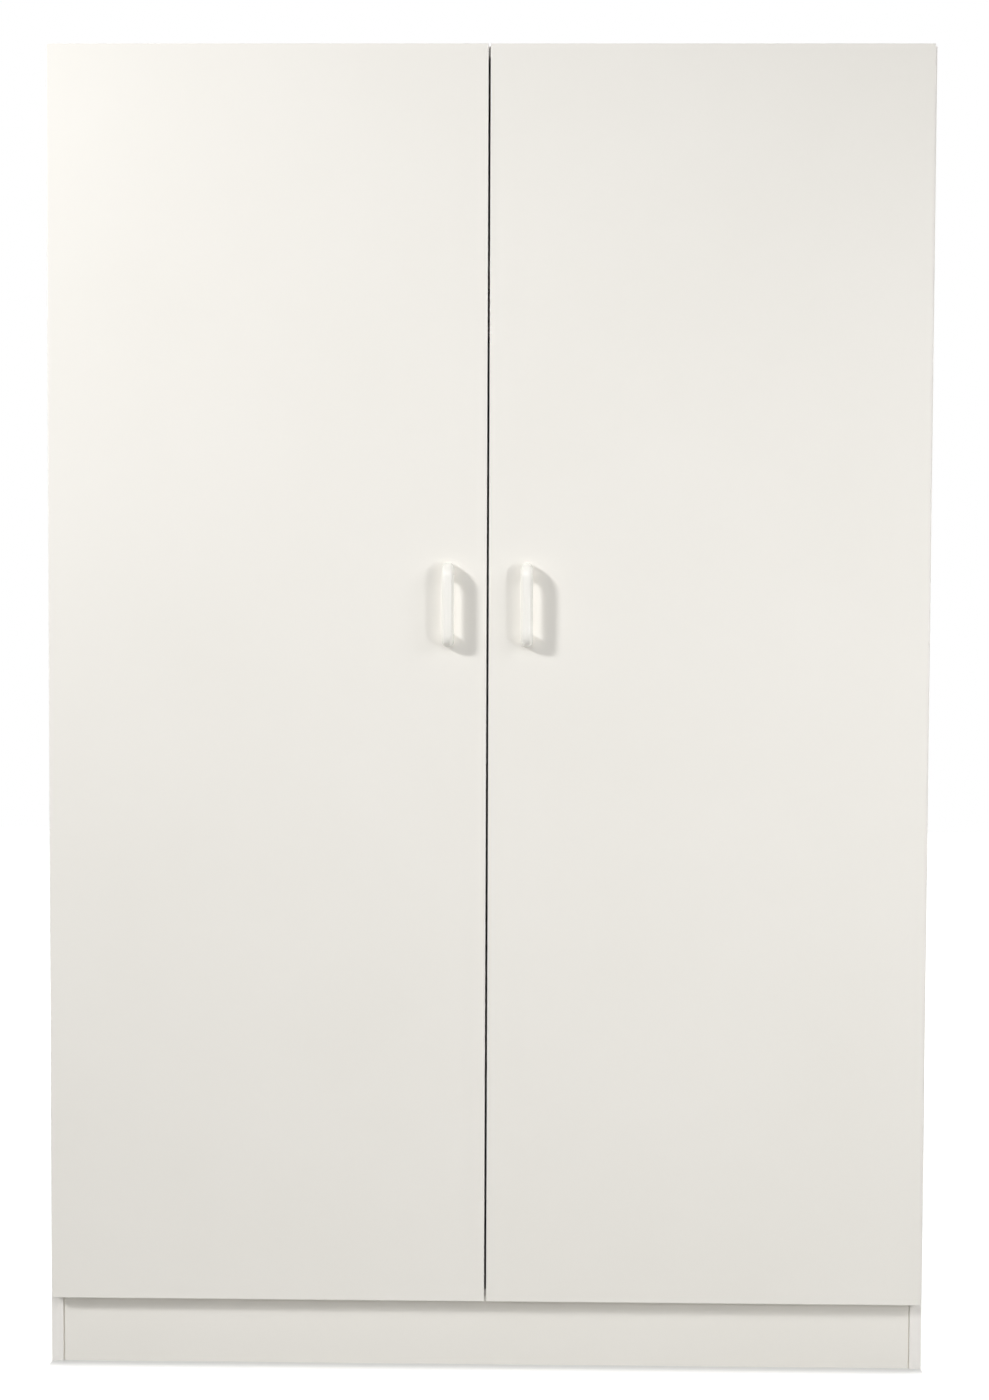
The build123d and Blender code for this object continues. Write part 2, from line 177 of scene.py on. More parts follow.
@dataclass(frozen=True)
class MelamineBoard(Finish):
    """Chipboard faced with white melamine paper, pressed against a finely pearled plate.

    The faces are a slightly warm white with a dull sheen; raw cut edges show packed brown chips.
    """

    face_axis: Axis = Axis.Y
    light_hex: str = "#F5F2EC"
    shade_hex: str = "#F1EEE7"
    chip_dark_hex: str = "#8E6F48"
    chip_pale_hex: str = "#CDB287"
    cloud_mm: float = 260.0
    # The real pearl is about 0.5 mm across, too fine to show, so it is drawn coarser
    pearl_mm: float = 2.4
    pearl_depth_mm: float = 0.05
    pearl_strength: float = 0.35
    chip_mm: float = 2.6
    polish: tuple[float, float] = (0.40, 0.52)
    cut_roughness: float = 0.4
    gloss: float = 0.5

    def shade(self, tree: bpy.types.NodeTree) -> bpy.types.Node:
        """Build melamine on the faced sides and bare chipboard on the cut ones.

        Args:
            tree: Empty node tree of the material.

        Returns:
            The shader node.
        """
        place = add_node(tree, "ShaderNodeTexCoord")
        cloud = add_node(
            tree, "ShaderNodeTexNoise", {"Scale": per_metre(self.cloud_mm), "Detail": 3.0},
            {"Vector": (place, "Object")},
        )
        face = add_node(
            tree, "ShaderNodeMix",
            {"data_type": "RGBA", 6: linear_colour(self.light_hex), 7: linear_colour(self.shade_hex)},
            {0: (cloud, 0)},
        )
        pearl = add_node(
            tree, "ShaderNodeTexNoise",
            {"Scale": per_metre(self.pearl_mm), "Detail": 2.0, "Roughness": 0.6},
            {"Vector": (place, "Object")},
        )
        chips = add_node(
            tree, "ShaderNodeTexVoronoi", {"Scale": per_metre(self.chip_mm), "Randomness": 1.0},
            {"Vector": (place, "Object")},
        )
        chip_tone = add_node(tree, "ShaderNodeSeparateColor", links={0: (chips, "Color")})
        chip = add_node(
            tree, "ShaderNodeMix",
            {
                "data_type": "RGBA",
                6: linear_colour(self.chip_dark_hex), 7: linear_colour(self.chip_pale_hex),
            },
            {0: (chip_tone, 0)},
        )
        cut = self.cut_edge_mask(tree, place)
        colour = add_node(
            tree, "ShaderNodeMix", {"data_type": "RGBA"}, {0: (cut, 0), 6: (face, 2), 7: (chip, 2)}
        )
        rough = add_node(
            tree, "ShaderNodeMapRange", {3: self.polish[0], 4: self.polish[1]}, {0: (pearl, 0)}
        )
        rough_cut = add_node(
            tree, "ShaderNodeMath", {"operation": "MULTIPLY_ADD", 1: self.cut_roughness},
            {0: (cut, 0), 2: (rough, 0)},
        )
        bump = add_node(
            tree, "ShaderNodeBump",
            {"Strength": self.pearl_strength, "Distance": self.pearl_depth_mm * MM}, {"Height": (pearl, 0)},
        )
        return add_node(
            tree, "ShaderNodeBsdfPrincipled", {"IOR": 1.5, "Specular IOR Level": self.gloss},
            {"Base Color": (colour, 2), "Roughness": (rough_cut, 0), "Normal": (bump, 0)},
        )

    def cut_edge_mask(self, tree: bpy.types.NodeTree, place: bpy.types.Node) -> bpy.types.Node:
        """Mark the surfaces that are sawn or drilled, by the way they look.

        Args:
            tree: Node tree of the material.
            place: Texture coordinate node.

        Returns:
            A node that gives one on cut surfaces and nought on faced and upward ones.
        """
        way = add_node(tree, "ShaderNodeSeparateXYZ", links={0: (place, "Normal")})
        along = add_node(
            tree, "ShaderNodeMath", {"operation": "ABSOLUTE"}, {0: (way, self.face_axis.value)}
        )
        sawn = add_node(tree, "ShaderNodeMath", {"operation": "LESS_THAN", 1: FACING}, {0: (along, 0)})
        low = add_node(tree, "ShaderNodeMath", {"operation": "LESS_THAN", 1: FACING}, {0: (way, "Z")})
        return add_node(tree, "ShaderNodeMath", {"operation": "MULTIPLY"}, {0: (sawn, 0), 1: (low, 0)})


@dataclass(frozen=True)
class EdgingTape(Finish):
    """Extruded white ABS edging, a little smoother and brighter than the melamine it frames."""

    light_hex: str = "#F8F5F1"
    shade_hex: str = "#F3F0EB"
    cloud_mm: float = 14.0
    polish: tuple[float, float] = (0.30, 0.40)

    def shade(self, tree: bpy.types.NodeTree) -> bpy.types.Node:
        """Build the satin tape, whose tone and polish wander faintly.

        Args:
            tree: Empty node tree of the material.

        Returns:
            The shader node.
        """
        place = add_node(tree, "ShaderNodeTexCoord")
        cloud = add_node(
            tree, "ShaderNodeTexNoise", {"Scale": per_metre(self.cloud_mm), "Detail": 2.0},
            {"Vector": (place, "Object")},
        )
        colour = add_node(
            tree, "ShaderNodeMix",
            {"data_type": "RGBA", 6: linear_colour(self.light_hex), 7: linear_colour(self.shade_hex)},
            {0: (cloud, 0)},
        )
        rough = add_node(
            tree, "ShaderNodeMapRange", {3: self.polish[0], 4: self.polish[1]}, {0: (cloud, 0)}
        )
        return add_node(
            tree, "ShaderNodeBsdfPrincipled", {"IOR": 1.53},
            {"Base Color": (colour, 2), "Roughness": (rough, 0)},
        )


@dataclass(frozen=True)
class HandlePlastic(Finish):
    """Injection-moulded white ABS with a satin gloss and the faint waviness of a moulding."""

    light_hex: str = "#FBF9F3"
    shade_hex: str = "#F9F7F0"
    sink_mm: float = 26.0
    sink_depth_mm: float = 0.02
    sink_strength: float = 0.3
    polish: tuple[float, float] = (0.22, 0.27)

    def shade(self, tree: bpy.types.NodeTree) -> bpy.types.Node:
        """Build the glossy moulding.

        Args:
            tree: Empty node tree of the material.

        Returns:
            The shader node.
        """
        place = add_node(tree, "ShaderNodeTexCoord")
        sink = add_node(
            tree, "ShaderNodeTexNoise", {"Scale": per_metre(self.sink_mm), "Detail": 2.0},
            {"Vector": (place, "Object")},
        )
        colour = add_node(
            tree, "ShaderNodeMix",
            {"data_type": "RGBA", 6: linear_colour(self.light_hex), 7: linear_colour(self.shade_hex)},
            {0: (sink, 0)},
        )
        rough = add_node(
            tree, "ShaderNodeMapRange", {3: self.polish[0], 4: self.polish[1]}, {0: (sink, 0)}
        )
        bump = add_node(
            tree, "ShaderNodeBump",
            {"Strength": self.sink_strength, "Distance": self.sink_depth_mm * MM}, {"Height": (sink, 0)},
        )
        return add_node(
            tree, "ShaderNodeBsdfPrincipled", {"IOR": 1.53},
            {"Base Color": (colour, 2), "Roughness": (rough, 0), "Normal": (bump, 0)},
        )


@dataclass(frozen=True)
class MetalFinish(Finish):
    """A bare or plated metal whose tone and polish wander slightly, along its drawn direction if any."""

    light_hex: str = "#CFCAC1"
    shade_hex: str = "#B7B1A6"
    grain_mm: tuple[float, float, float] = (6.0, 6.0, 6.0)
    polish: tuple[float, float] = (0.22, 0.36)
    relief_mm: float = 0.02
    relief_strength: float = 0.25

    def shade(self, tree: bpy.types.NodeTree) -> bpy.types.Node:
        """Build the metal from one noise that is stretched to its grain.

        Args:
            tree: Empty node tree of the material.

        Returns:
            The shader node.
        """
        place = add_node(tree, "ShaderNodeTexCoord")
        grain = add_node(
            tree, "ShaderNodeMapping", {"Scale": tuple(per_metre(size) for size in self.grain_mm)},
            {"Vector": (place, "Object")},
        )
        noise = add_node(
            tree, "ShaderNodeTexNoise", {"Scale": 1.0, "Detail": 4.0}, {"Vector": (grain, 0)}
        )
        colour = add_node(
            tree, "ShaderNodeMix",
            {"data_type": "RGBA", 6: linear_colour(self.light_hex), 7: linear_colour(self.shade_hex)},
            {0: (noise, 0)},
        )
        rough = add_node(
            tree, "ShaderNodeMapRange", {3: self.polish[0], 4: self.polish[1]}, {0: (noise, 0)}
        )
        bump = add_node(
            tree, "ShaderNodeBump",
            {"Strength": self.relief_strength, "Distance": self.relief_mm * MM}, {"Height": (noise, 0)},
        )
        return add_node(
            tree, "ShaderNodeBsdfPrincipled", {"Metallic": 1.0},
            {"Base Color": (colour, 2), "Roughness": (rough, 0), "Normal": (bump, 0)},
        )


@dataclass(frozen=True)
class Hardboard(Finish):
    """Hardboard that is lacquered white on the inside and shows brown fibre and a mesh print behind."""

    lacquer_hex: str = "#EEEBE4"
    fibre_dark_hex: str = "#644931"
    fibre_pale_hex: str = "#9C7A54"
    fibre_mm: float = 3.5
    fibre_span: tuple[float, float] = (0.34, 0.66)
    cloud_mm: float = 240.0
    cloud_share: float = 0.3
    # The real print repeats about every 2 mm, too fine to show, so it is drawn ten times as coarse
    mesh_pitch_mm: float = 20.106
    print_depth_mm: float = 0.2
    print_strength: float = 0.6
    polish: tuple[float, float] = (0.42, 0.85)

    def shade(self, tree: bpy.types.NodeTree) -> bpy.types.Node:
        """Build the lacquered front and the bare back of the sheet.

        Args:
            tree: Empty node tree of the material.

        Returns:
            The shader node.
        """
        place = add_node(tree, "ShaderNodeTexCoord")
        fibre = add_node(
            tree, "ShaderNodeTexNoise",
            {"Scale": per_metre(self.fibre_mm), "Detail": 6.0, "Roughness": 0.7},
            {"Vector": (place, "Object")},
        )
        clear_fibre = add_node(
            tree, "ShaderNodeMapRange", {1: self.fibre_span[0], 2: self.fibre_span[1]}, {0: (fibre, 0)}
        )
        cloud = add_node(
            tree, "ShaderNodeTexNoise", {"Scale": per_metre(self.cloud_mm), "Detail": 2.0},
            {"Vector": (place, "Object")},
        )
        tone = add_node(
            tree, "ShaderNodeMix", {0: self.cloud_share}, {2: (clear_fibre, 0), 3: (cloud, 0)}
        )
        brown = add_node(
            tree, "ShaderNodeMix",
            {
                "data_type": "RGBA",
                6: linear_colour(self.fibre_dark_hex), 7: linear_colour(self.fibre_pale_hex),
            },
            {0: (tone, 0)},
        )
        way = add_node(tree, "ShaderNodeSeparateXYZ", links={0: (place, "Normal")})
        behind = add_node(
            tree, "ShaderNodeMath", {"operation": "GREATER_THAN", 1: -FACING}, {0: (way, "Y")}
        )
        colour = add_node(
            tree, "ShaderNodeMix", {"data_type": "RGBA", 6: linear_colour(self.lacquer_hex)},
            {0: (behind, 0), 7: (brown, 2)},
        )
        print_height = self.mesh_print(tree, place)
        relief = add_node(
            tree, "ShaderNodeMath", {"operation": "MULTIPLY"}, {0: (print_height, 0), 1: (behind, 0)}
        )
        bump = add_node(
            tree, "ShaderNodeBump",
            {"Strength": self.print_strength, "Distance": self.print_depth_mm * MM},
            {"Height": (relief, 0)},
        )
        rough = add_node(
            tree, "ShaderNodeMapRange", {3: self.polish[0], 4: self.polish[1]}, {0: (behind, 0)}
        )
        return add_node(
            tree, "ShaderNodeBsdfPrincipled", {"IOR": 1.5},
            {"Base Color": (colour, 2), "Roughness": (rough, 0), "Normal": (bump, 0)},
        )

    def mesh_print(self, tree: bpy.types.NodeTree, place: bpy.types.Node) -> bpy.types.Node:
        """Cross two sets of ridges, the print of the wire mesh the sheet was pressed on.

        Args:
            tree: Node tree of the material.
            place: Texture coordinate node.

        Returns:
            A node that gives the height of the print.
        """
        # A wave texture of scale 1 repeats every tau / 20 metres
        scale = per_metre(self.mesh_pitch_mm) * math.tau / 20
        ridges = [
            add_node(
                tree, "ShaderNodeTexWave",
                {"bands_direction": way, "Scale": scale, "Distortion": 0.4},
                {"Vector": (place, "Object")},
            )
            for way in ("X", "Z")
        ]
        return add_node(
            tree, "ShaderNodeMath", {"operation": "MULTIPLY"}, {0: (ridges[0], 1), 1: (ridges[1], 1)}
        )


@dataclass(frozen=True)
class BeechDowel(Finish):
    """Turned beech with short pale flecks along the dowel."""

    light_hex: str = "#D8B88C"
    shade_hex: str = "#BE9463"
    fleck_mm: tuple[float, float, float] = (12.0, 0.9, 0.9)
    roughness: float = 0.6

    def shade(self, tree: bpy.types.NodeTree) -> bpy.types.Node:
        """Build the wood with its grain along the dowel.

        Args:
            tree: Empty node tree of the material.

        Returns:
            The shader node.
        """
        place = add_node(tree, "ShaderNodeTexCoord")
        grain = add_node(
            tree, "ShaderNodeMapping", {"Scale": tuple(per_metre(size) for size in self.fleck_mm)},
            {"Vector": (place, "Object")},
        )
        fleck = add_node(tree, "ShaderNodeTexNoise", {"Scale": 1.0, "Detail": 3.0}, {"Vector": (grain, 0)})
        colour = add_node(
            tree, "ShaderNodeMix",
            {"data_type": "RGBA", 6: linear_colour(self.light_hex), 7: linear_colour(self.shade_hex)},
            {0: (fleck, 0)},
        )
        return add_node(
            tree, "ShaderNodeBsdfPrincipled", {"Roughness": self.roughness}, {"Base Color": (colour, 2)}
        )


@dataclass(frozen=True)
class BumperPad(Finish):
    """Clear soft polyurethane, slightly milky, with a skin that is not quite even."""

    light_hex: str = "#F1F1EE"
    shade_hex: str = "#E4E4E0"
    cloud_mm: float = 4.0
    roughness: float = 0.28
    clearness: float = 0.45

    def shade(self, tree: bpy.types.NodeTree) -> bpy.types.Node:
        """Build the milky pad.

        Args:
            tree: Empty node tree of the material.

        Returns:
            The shader node.
        """
        place = add_node(tree, "ShaderNodeTexCoord")
        cloud = add_node(
            tree, "ShaderNodeTexNoise", {"Scale": per_metre(self.cloud_mm)}, {"Vector": (place, "Object")}
        )
        colour = add_node(
            tree, "ShaderNodeMix",
            {"data_type": "RGBA", 6: linear_colour(self.light_hex), 7: linear_colour(self.shade_hex)},
            {0: (cloud, 0)},
        )
        return add_node(
            tree, "ShaderNodeBsdfPrincipled",
            {"Roughness": self.roughness, "IOR": 1.5, "Transmission Weight": self.clearness},
            {"Base Color": (colour, 2)},
        )


SIDE_BOARD = MelamineBoard("melamine_side_board", Axis.X)
# Flat boards are duller, so that no lamp glares on the top
LEVEL_BOARD = MelamineBoard("melamine_level_board", Axis.Z, gloss=0.1)
UPRIGHT_BOARD = MelamineBoard("melamine_upright_board", Axis.Y)
DOOR_BOARD = MelamineBoard("melamine_door_board", Axis.Y)
TAPE = EdgingTape("abs_edging")
HANDLE_ABS = HandlePlastic("moulded_abs")
# Slightly warm satin plating on the hinges
NICKEL = MetalFinish("nickel_plated_steel")
# Bright bluish plating on screws, bolts and nails
ZINC_PLATE = MetalFinish(
    "zinc_plated_steel", light_hex="#C6CBD0", shade_hex="#A9AFB6", grain_mm=(3.0, 3.0, 3.0),
    polish=(0.25, 0.4),
)
# Mirror-bright, with faint lines along the drawn tube
CHROME = MetalFinish(
    "chromed_steel_tube", light_hex="#E2E3E5", shade_hex="#D2D4D7", grain_mm=(160.0, 1.2, 1.2),
    polish=(0.06, 0.14), relief_mm=0.004,
)
# Softly bright, with the slight orange peel of a plated casting
DIE_CAST = MetalFinish(
    "plated_die_casting", light_hex="#D2D2D2", shade_hex="#BEBFC0", grain_mm=(4.0, 4.0, 4.0),
    polish=(0.2, 0.34),
)
# Dull grey, with the grain of an unplated casting
ZINC_ALLOY = MetalFinish(
    "raw_zinc_alloy", light_hex="#B4B6B9", shade_hex="#93969A", grain_mm=(1.6, 1.6, 1.6),
    polish=(0.4, 0.58), relief_mm=0.05,
)
HARDBOARD = Hardboard("lacquered_hardboard")
BEECH = BeechDowel("turned_beech")
PAD = BumperPad("clear_polyurethane")

NODE_FINISHES: dict[str, Finish] = {
    "left_side_panel": SIDE_BOARD,
    "right_side_panel": SIDE_BOARD,
    "top_panel": LEVEL_BOARD,
    "bottom_panel": LEVEL_BOARD,
    "hat_shelf": LEVEL_BOARD,
    "kickboard": UPRIGHT_BOARD,
    "rear_plinth_rail": UPRIGHT_BOARD,
    "left_door_panel": DOOR_BOARD,
    "right_door_panel": DOOR_BOARD,
    "carcass_edging": TAPE,
    "back_joining_strip": TAPE,
    "back_panel_left": HARDBOARD,
    "back_panel_right": HARDBOARD,
    "rail_socket_left": DIE_CAST,
    "rail_socket_right": DIE_CAST,
    "rail_centre_support": DIE_CAST,
    "cam_locks": ZINC_ALLOY,
    "wood_dowels": BEECH,
    "left_door_bumpers": PAD,
    "right_door_bumpers": PAD,
    "rail_screws": ZINC_PLATE,
    "cam_bolts": ZINC_PLATE,
    "left_handle_screws": ZINC_PLATE,
    "right_handle_screws": ZINC_PLATE,
}


def select_only(piece: bpy.types.Object) -> None:
    """Make a piece the active one and the only one selected.

    Args:
        piece: Mesh object.
    """
    bpy.ops.object.select_all(action="DESELECT")
    bpy.context.view_layer.objects.active = piece
    piece.select_set(True)


def start_block(name: str, low: Vector, high: Vector) -> bpy.types.Object:
    """Add a cube primitive that fills the box between two corners.

    Args:
        name: Name of the new piece.
        low: Lowest corner in metres.
        high: Highest corner in metres.

    Returns:
        The piece, at the origin with its place in its mesh.
    """
    bpy.ops.object.select_all(action="DESELECT")
    bpy.ops.mesh.primitive_cube_add(size=1, location=(low + high) / 2)
    piece = bpy.context.object
    piece.name = name
    piece.data.name = name
    piece.scale = high - low
    bpy.ops.object.transform_apply(location=True, rotation=True, scale=True)
    return piece


def pick_edges(piece: bpy.types.Object, test: Callable[[Vector, Vector], bool]) -> None:
    """Select the edges in edit mode whose two ends pass a test.

    Args:
        piece: Mesh object in edit mode.
        test: Says whether an edge with these two ends is picked.
    """
    bpy.ops.mesh.select_mode(type="EDGE")
    bpy.ops.mesh.select_all(action="DESELECT")
    mesh = bmesh.from_edit_mesh(piece.data)
    for edge in mesh.edges:
        edge.select_set(test(edge.verts[0].co, edge.verts[1].co))
    bmesh.update_edit_mesh(piece.data)


def pick_faces(piece: bpy.types.Object, test: Callable[[Vector], bool]) -> None:
    """Select the faces in edit mode whose normal passes a test.

    Args:
        piece: Mesh object in edit mode.
        test: Says whether a face with this normal is picked.
    """
    bpy.ops.mesh.select_mode(type="FACE")
    bpy.ops.mesh.select_all(action="DESELECT")
    mesh = bmesh.from_edit_mesh(piece.data)
    for face in mesh.faces:
        face.select_set(test(face.normal))
    bmesh.update_edit_mesh(piece.data)


def apply_modifier(piece: bpy.types.Object, kind: str, **settings: object) -> None:
    """Add a modifier to a piece and apply it.

    Args:
        piece: Mesh object.
        kind: Modifier type.
        **settings: The modifier's properties.
    """
    select_only(piece)
    modifier = piece.modifiers.new(kind.lower(), kind)
    for key, value in settings.items():
        setattr(modifier, key, value)
    bpy.ops.object.modifier_apply(modifier=modifier.name)


def smooth(piece: bpy.types.Object, angle_deg: float = 35.0) -> None:
    """Shade a piece smooth, apart from edges sharper than an angle.

    Args:
        piece: Mesh object.
        angle_deg: Largest angle between two faces that is still smoothed.
    """
    select_only(piece)
    bpy.ops.object.shade_smooth_by_angle(angle=math.radians(angle_deg))


@dataclass
class DoorEdging:
    """The edging tape round one door, with its sharp arrises rounded off."""

    side: Side
    arris_mm: float = 0.4
    arris_steps: int = 3

    def build(self) -> bpy.types.Object:
        """Model the frame of tape in place of the plain strips.

        Returns:
            The finished piece.
        """
        low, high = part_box(f"{self.side.value}_door_edging")
        core_low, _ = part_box(f"{self.side.value}_door_panel")
        tape = start_block(f"{self.side.value}_door_edge_tape", low, high)
        bpy.ops.object.mode_set(mode="EDIT")
        pick_faces(tape, lambda normal: abs(normal.y) > FACING)
        bpy.ops.mesh.inset(thickness=core_low.x - low.x, use_individual=True)
        bpy.ops.mesh.bridge_edge_loops()

        def outer(point: Vector) -> bool:
            """Say whether a point lies on the outer rim of the tape."""
            return (
                min(abs(point.x - low.x), abs(point.x - high.x)) < TOUCH
                or min(abs(point.z - low.z), abs(point.z - high.z)) < TOUCH
            )

        pick_edges(tape, lambda a, b: outer(a) and outer(b))
        bpy.ops.mesh.bevel(offset=self.arris_mm * MM, segments=self.arris_steps, affect="EDGES")
        bpy.ops.object.mode_set(mode="OBJECT")
        smooth(tape)
        TAPE.dress(tape)
        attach(tape, f"{self.side.value}_door")
        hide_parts(f"{self.side.value}_door_edging")
        return tape


@dataclass
class HandleBow:
    """A moulded D-bow: rounded at both ends, chamfered along its outer rim, open for the fingers."""

    side: Side
    corner_mm: float = 19.0
    corner_steps: int = 14
    chamfer_mm: float = 4.0
    bar_mm: float = 8.0
    leg_mm: float = 17.0
    gap_corner_mm: float = 9.0
    grip_round_mm: float = 1.4
    flank_round_mm: float = 2.5
    front_round_mm: float = 1.6
    round_steps: int = 6

    def build(self) -> bpy.types.Object:
        """Model the bow in place of the handle's solid.

        Returns:
            The finished piece.
        """
        low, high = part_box(f"{self.side.value}_handle")
        bow = start_block(f"{self.side.value}_bow_handle", low, high)
        bpy.ops.object.mode_set(mode="EDIT")
        pick_edges(bow, lambda a, b: max(a.y, b.y) < low.y + TOUCH and abs(a.x - b.x) > TOUCH)
        bpy.ops.mesh.bevel(
            offset=self.corner_mm * MM, segments=self.corner_steps, affect="EDGES", clamp_overlap=False
        )
        pick_edges(bow, lambda a, b: abs(a.x - b.x) < TOUCH and min(a.y, b.y) < high.y - TOUCH)
        bpy.ops.mesh.bevel(offset=self.chamfer_mm * MM, segments=1, affect="EDGES", clamp_overlap=False)
        for inset_mm, round_mm in ((0.0, self.flank_round_mm), (self.chamfer_mm, self.front_round_mm)):
            self.round_rim(bow, low.x + inset_mm * MM, high.x - inset_mm * MM, high.y, round_mm)
        bpy.ops.object.mode_set(mode="OBJECT")
        self.open_finger_gap(bow, low, high)
        self.round_grip(bow, low, high)
        smooth(bow)
        HANDLE_ABS.dress(bow)
        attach(bow, f"{self.side.value}_door")
        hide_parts(f"{self.side.value}_handle")
        return bow

    def round_rim(
        self, bow: bpy.types.Object, left: float, right: float, door: float, round_mm: float
    ) -> None:
        """Round the two long edges of the outer rim that run at given widths.

        Args:
            bow: The chamfered block, in edit mode.
            left: Where the left edge runs.
            right: Where the right edge runs.
            door: Depth of the door face, whose edges stay sharp.
            round_mm: How far the rounding reaches from the edge.
        """

        def on_rim(point: Vector) -> bool:
            """Say whether a point lies at one of the two widths."""
            return min(abs(point.x - left), abs(point.x - right)) < TOUCH

        def along_rim(start: Vector, end: Vector) -> bool:
            """Say whether an edge runs along the rim and not on the door."""
            lengthwise = abs(start.x - end.x) < TOUCH and min(start.y, end.y) < door - TOUCH
            return lengthwise and on_rim(start) and on_rim(end)

        pick_edges(bow, along_rim)
        bpy.ops.mesh.bevel(
            offset=round_mm * MM, segments=self.round_steps, affect="EDGES", clamp_overlap=False
        )

    def round_grip(self, bow: bpy.types.Object, low: Vector, high: Vector) -> None:
        """Round the inner rims, where the fingers go.

        Args:
            bow: The bow with its finger gap.
            low: Lowest corner of the handle.
            high: Highest corner of the handle.
        """
        bottom = low.z + self.leg_mm * MM
        top = high.z - self.leg_mm * MM
        bar_back = low.y + self.bar_mm * MM

        def on_gap(point: Vector) -> bool:
            """Say whether a point lies on a rim of the finger gap."""
            inside = bottom - TOUCH < point.z < top + TOUCH and point.y > bar_back - TOUCH
            return inside and min(point.x - low.x, high.x - point.x) < TOUCH

        select_only(bow)
        bpy.ops.object.mode_set(mode="EDIT")
        pick_edges(bow, lambda a, b: on_gap(a) and on_gap(b) and abs(a.x - b.x) < TOUCH)
        bpy.ops.mesh.bevel(
            offset=self.grip_round_mm * MM, segments=self.round_steps, affect="EDGES", clamp_overlap=False
        )
        bpy.ops.object.mode_set(mode="OBJECT")

    def open_finger_gap(self, bow: bpy.types.Object, low: Vector, high: Vector) -> None:
        """Cut the finger gap between the bar, the two legs and the door.

        Args:
            bow: The bow as a full block.
            low: Lowest corner of the handle.
            high: Highest corner of the handle.
        """
        leg = self.leg_mm * MM
        reach = high.x - low.x
        gap_low = Vector((low.x - reach, low.y + self.bar_mm * MM, low.z + leg))
        gap_high = Vector((high.x + reach, high.y + leg, high.z - leg))
        cutter = start_block("finger_gap", gap_low, gap_high)
        bpy.ops.object.mode_set(mode="EDIT")
        pick_edges(cutter, lambda a, b: max(a.y, b.y) < gap_low.y + TOUCH and abs(a.x - b.x) > TOUCH)
        bpy.ops.mesh.bevel(offset=self.gap_corner_mm * MM, segments=self.corner_steps, affect="EDGES")
        bpy.ops.object.mode_set(mode="OBJECT")
        apply_modifier(bow, "BOOLEAN", operation="DIFFERENCE", object=cutter, solver="EXACT")
        bpy.data.objects.remove(cutter)


@dataclass
class HangingRail:
    """The chromed oval tube that the clothes hang on."""

    wall_mm: float = 1.2
    round_steps: int = 16

    def build(self) -> bpy.types.Object:
        """Model the smooth tube in place of the faceted one.

        Returns:
            The finished piece.
        """
        low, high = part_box("hanging_rail")
        tube = start_block("oval_hanging_rail", low, high)
        bpy.ops.object.mode_set(mode="EDIT")
        pick_edges(tube, lambda a, b: abs(a.x - b.x) > TOUCH)
        bpy.ops.mesh.bevel(offset=(high.y - low.y) / 2 - TOUCH, segments=self.round_steps, affect="EDGES")
        pick_faces(tube, lambda normal: abs(normal.x) > FACING)
        bpy.ops.mesh.delete(type="FACE")
        bpy.ops.object.mode_set(mode="OBJECT")
        apply_modifier(tube, "SOLIDIFY", thickness=self.wall_mm * MM, offset=-1.0)
        smooth(tube)
        CHROME.dress(tube)
        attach(tube, "carcass")
        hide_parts("hanging_rail")
        return tube


